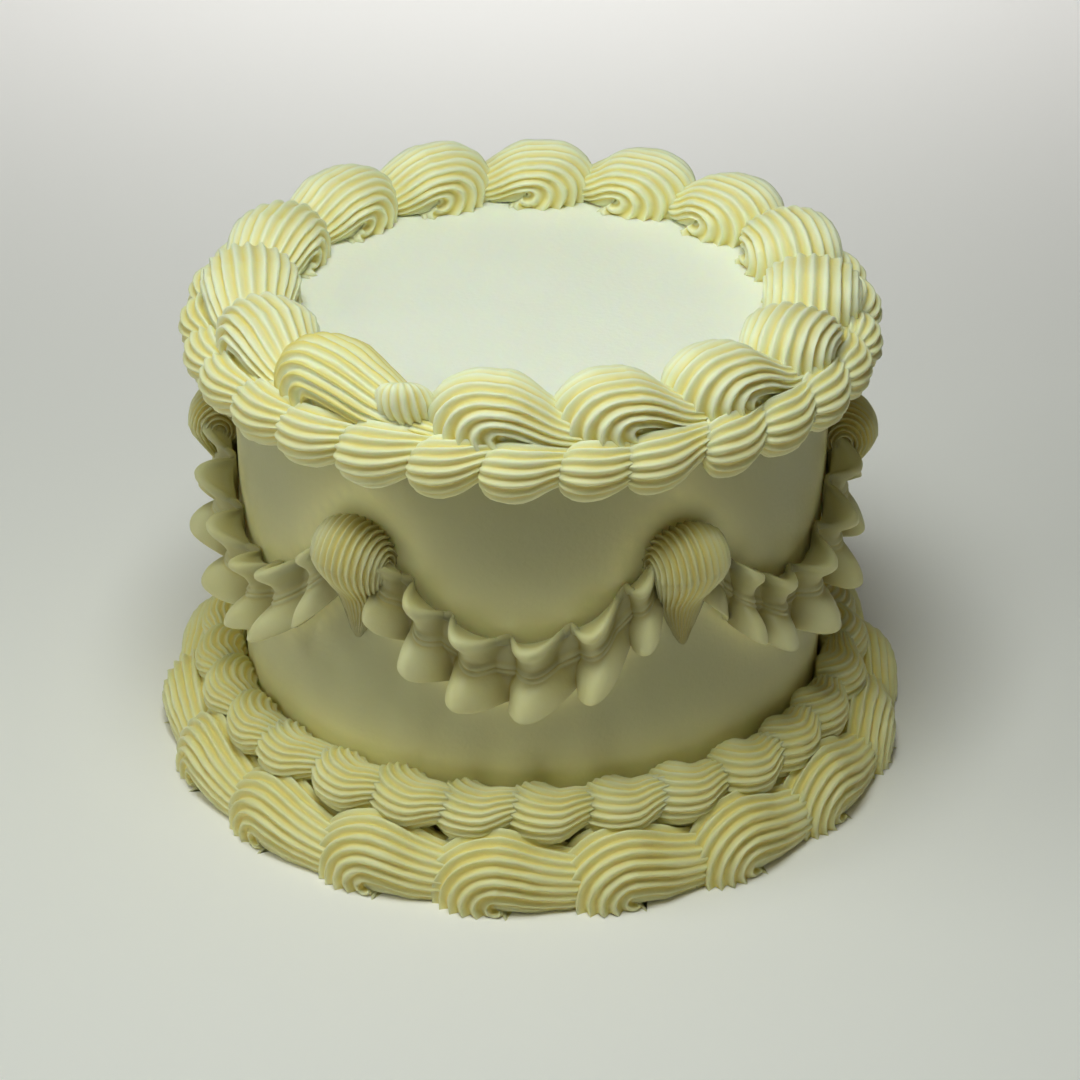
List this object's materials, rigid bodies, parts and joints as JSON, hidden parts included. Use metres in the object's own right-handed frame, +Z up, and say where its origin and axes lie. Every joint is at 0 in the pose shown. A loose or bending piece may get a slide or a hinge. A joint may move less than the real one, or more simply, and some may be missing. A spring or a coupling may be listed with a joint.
{
  "type": "layer cake",
  "caption": "Round pale yellow buttercream cake with a smooth coat, piped shell borders at top and foot, ruffle swags and upright shells on its wall.",
  "frame": {"origin": "middle of the underside, on the surface that the cake stands on", "axes": "+Z up; -Y towards the side that the picture shows; +X to the viewer's right"},
  "size_m": [0.2134, 0.2118, 0.1478],
  "materials": {
    "smooth_buttercream": "pale yellow buttercream scraped smooth, soft satin sheen",
    "piped_buttercream": "pale yellow buttercream piped in fine ridges, soft satin sheen"
  },
  "bodies": {
    "root": {"cake_body": "smooth_buttercream", "top_bead_border": "piped_buttercream", "base_bead_border": "piped_buttercream", "top_shell_01": "piped_buttercream", "top_shell_02": "piped_buttercream", "top_shell_03": "piped_buttercream", "top_shell_04": "piped_buttercream", "top_shell_05": "piped_buttercream", "top_shell_06": "piped_buttercream", "top_shell_07": "piped_buttercream", "top_shell_08": "piped_buttercream", "top_shell_09": "piped_buttercream", "top_shell_10": "piped_buttercream", "top_shell_11": "piped_buttercream", "top_shell_12": "piped_buttercream", "top_shell_13": "piped_buttercream", "top_shell_14": "piped_buttercream", "top_shell_15": "piped_buttercream", "base_shell_01": "piped_buttercream", "base_shell_02": "piped_buttercream", "base_shell_03": "piped_buttercream", "base_shell_04": "piped_buttercream", "base_shell_05": "piped_buttercream", "base_shell_06": "piped_buttercream", "base_shell_07": "piped_buttercream", "base_shell_08": "piped_buttercream", "base_shell_09": "piped_buttercream", "base_shell_10": "piped_buttercream", "base_shell_11": "piped_buttercream", "base_shell_12": "piped_buttercream", "base_shell_13": "piped_buttercream", "base_shell_14": "piped_buttercream", "base_shell_15": "piped_buttercream", "base_shell_16": "piped_buttercream", "base_shell_17": "piped_buttercream", "base_shell_18": "piped_buttercream", "drop_shell_1": "piped_buttercream", "drop_shell_2": "piped_buttercream", "drop_shell_3": "piped_buttercream", "drop_shell_4": "piped_buttercream", "drop_shell_5": "piped_buttercream", "drop_shell_6": "piped_buttercream", "ruffle_swag_1": "piped_buttercream", "ruffle_swag_2": "piped_buttercream", "ruffle_swag_3": "piped_buttercream", "ruffle_swag_4": "piped_buttercream", "ruffle_swag_5": "piped_buttercream", "ruffle_swag_6": "piped_buttercream"}
  },
  "joints": []
}
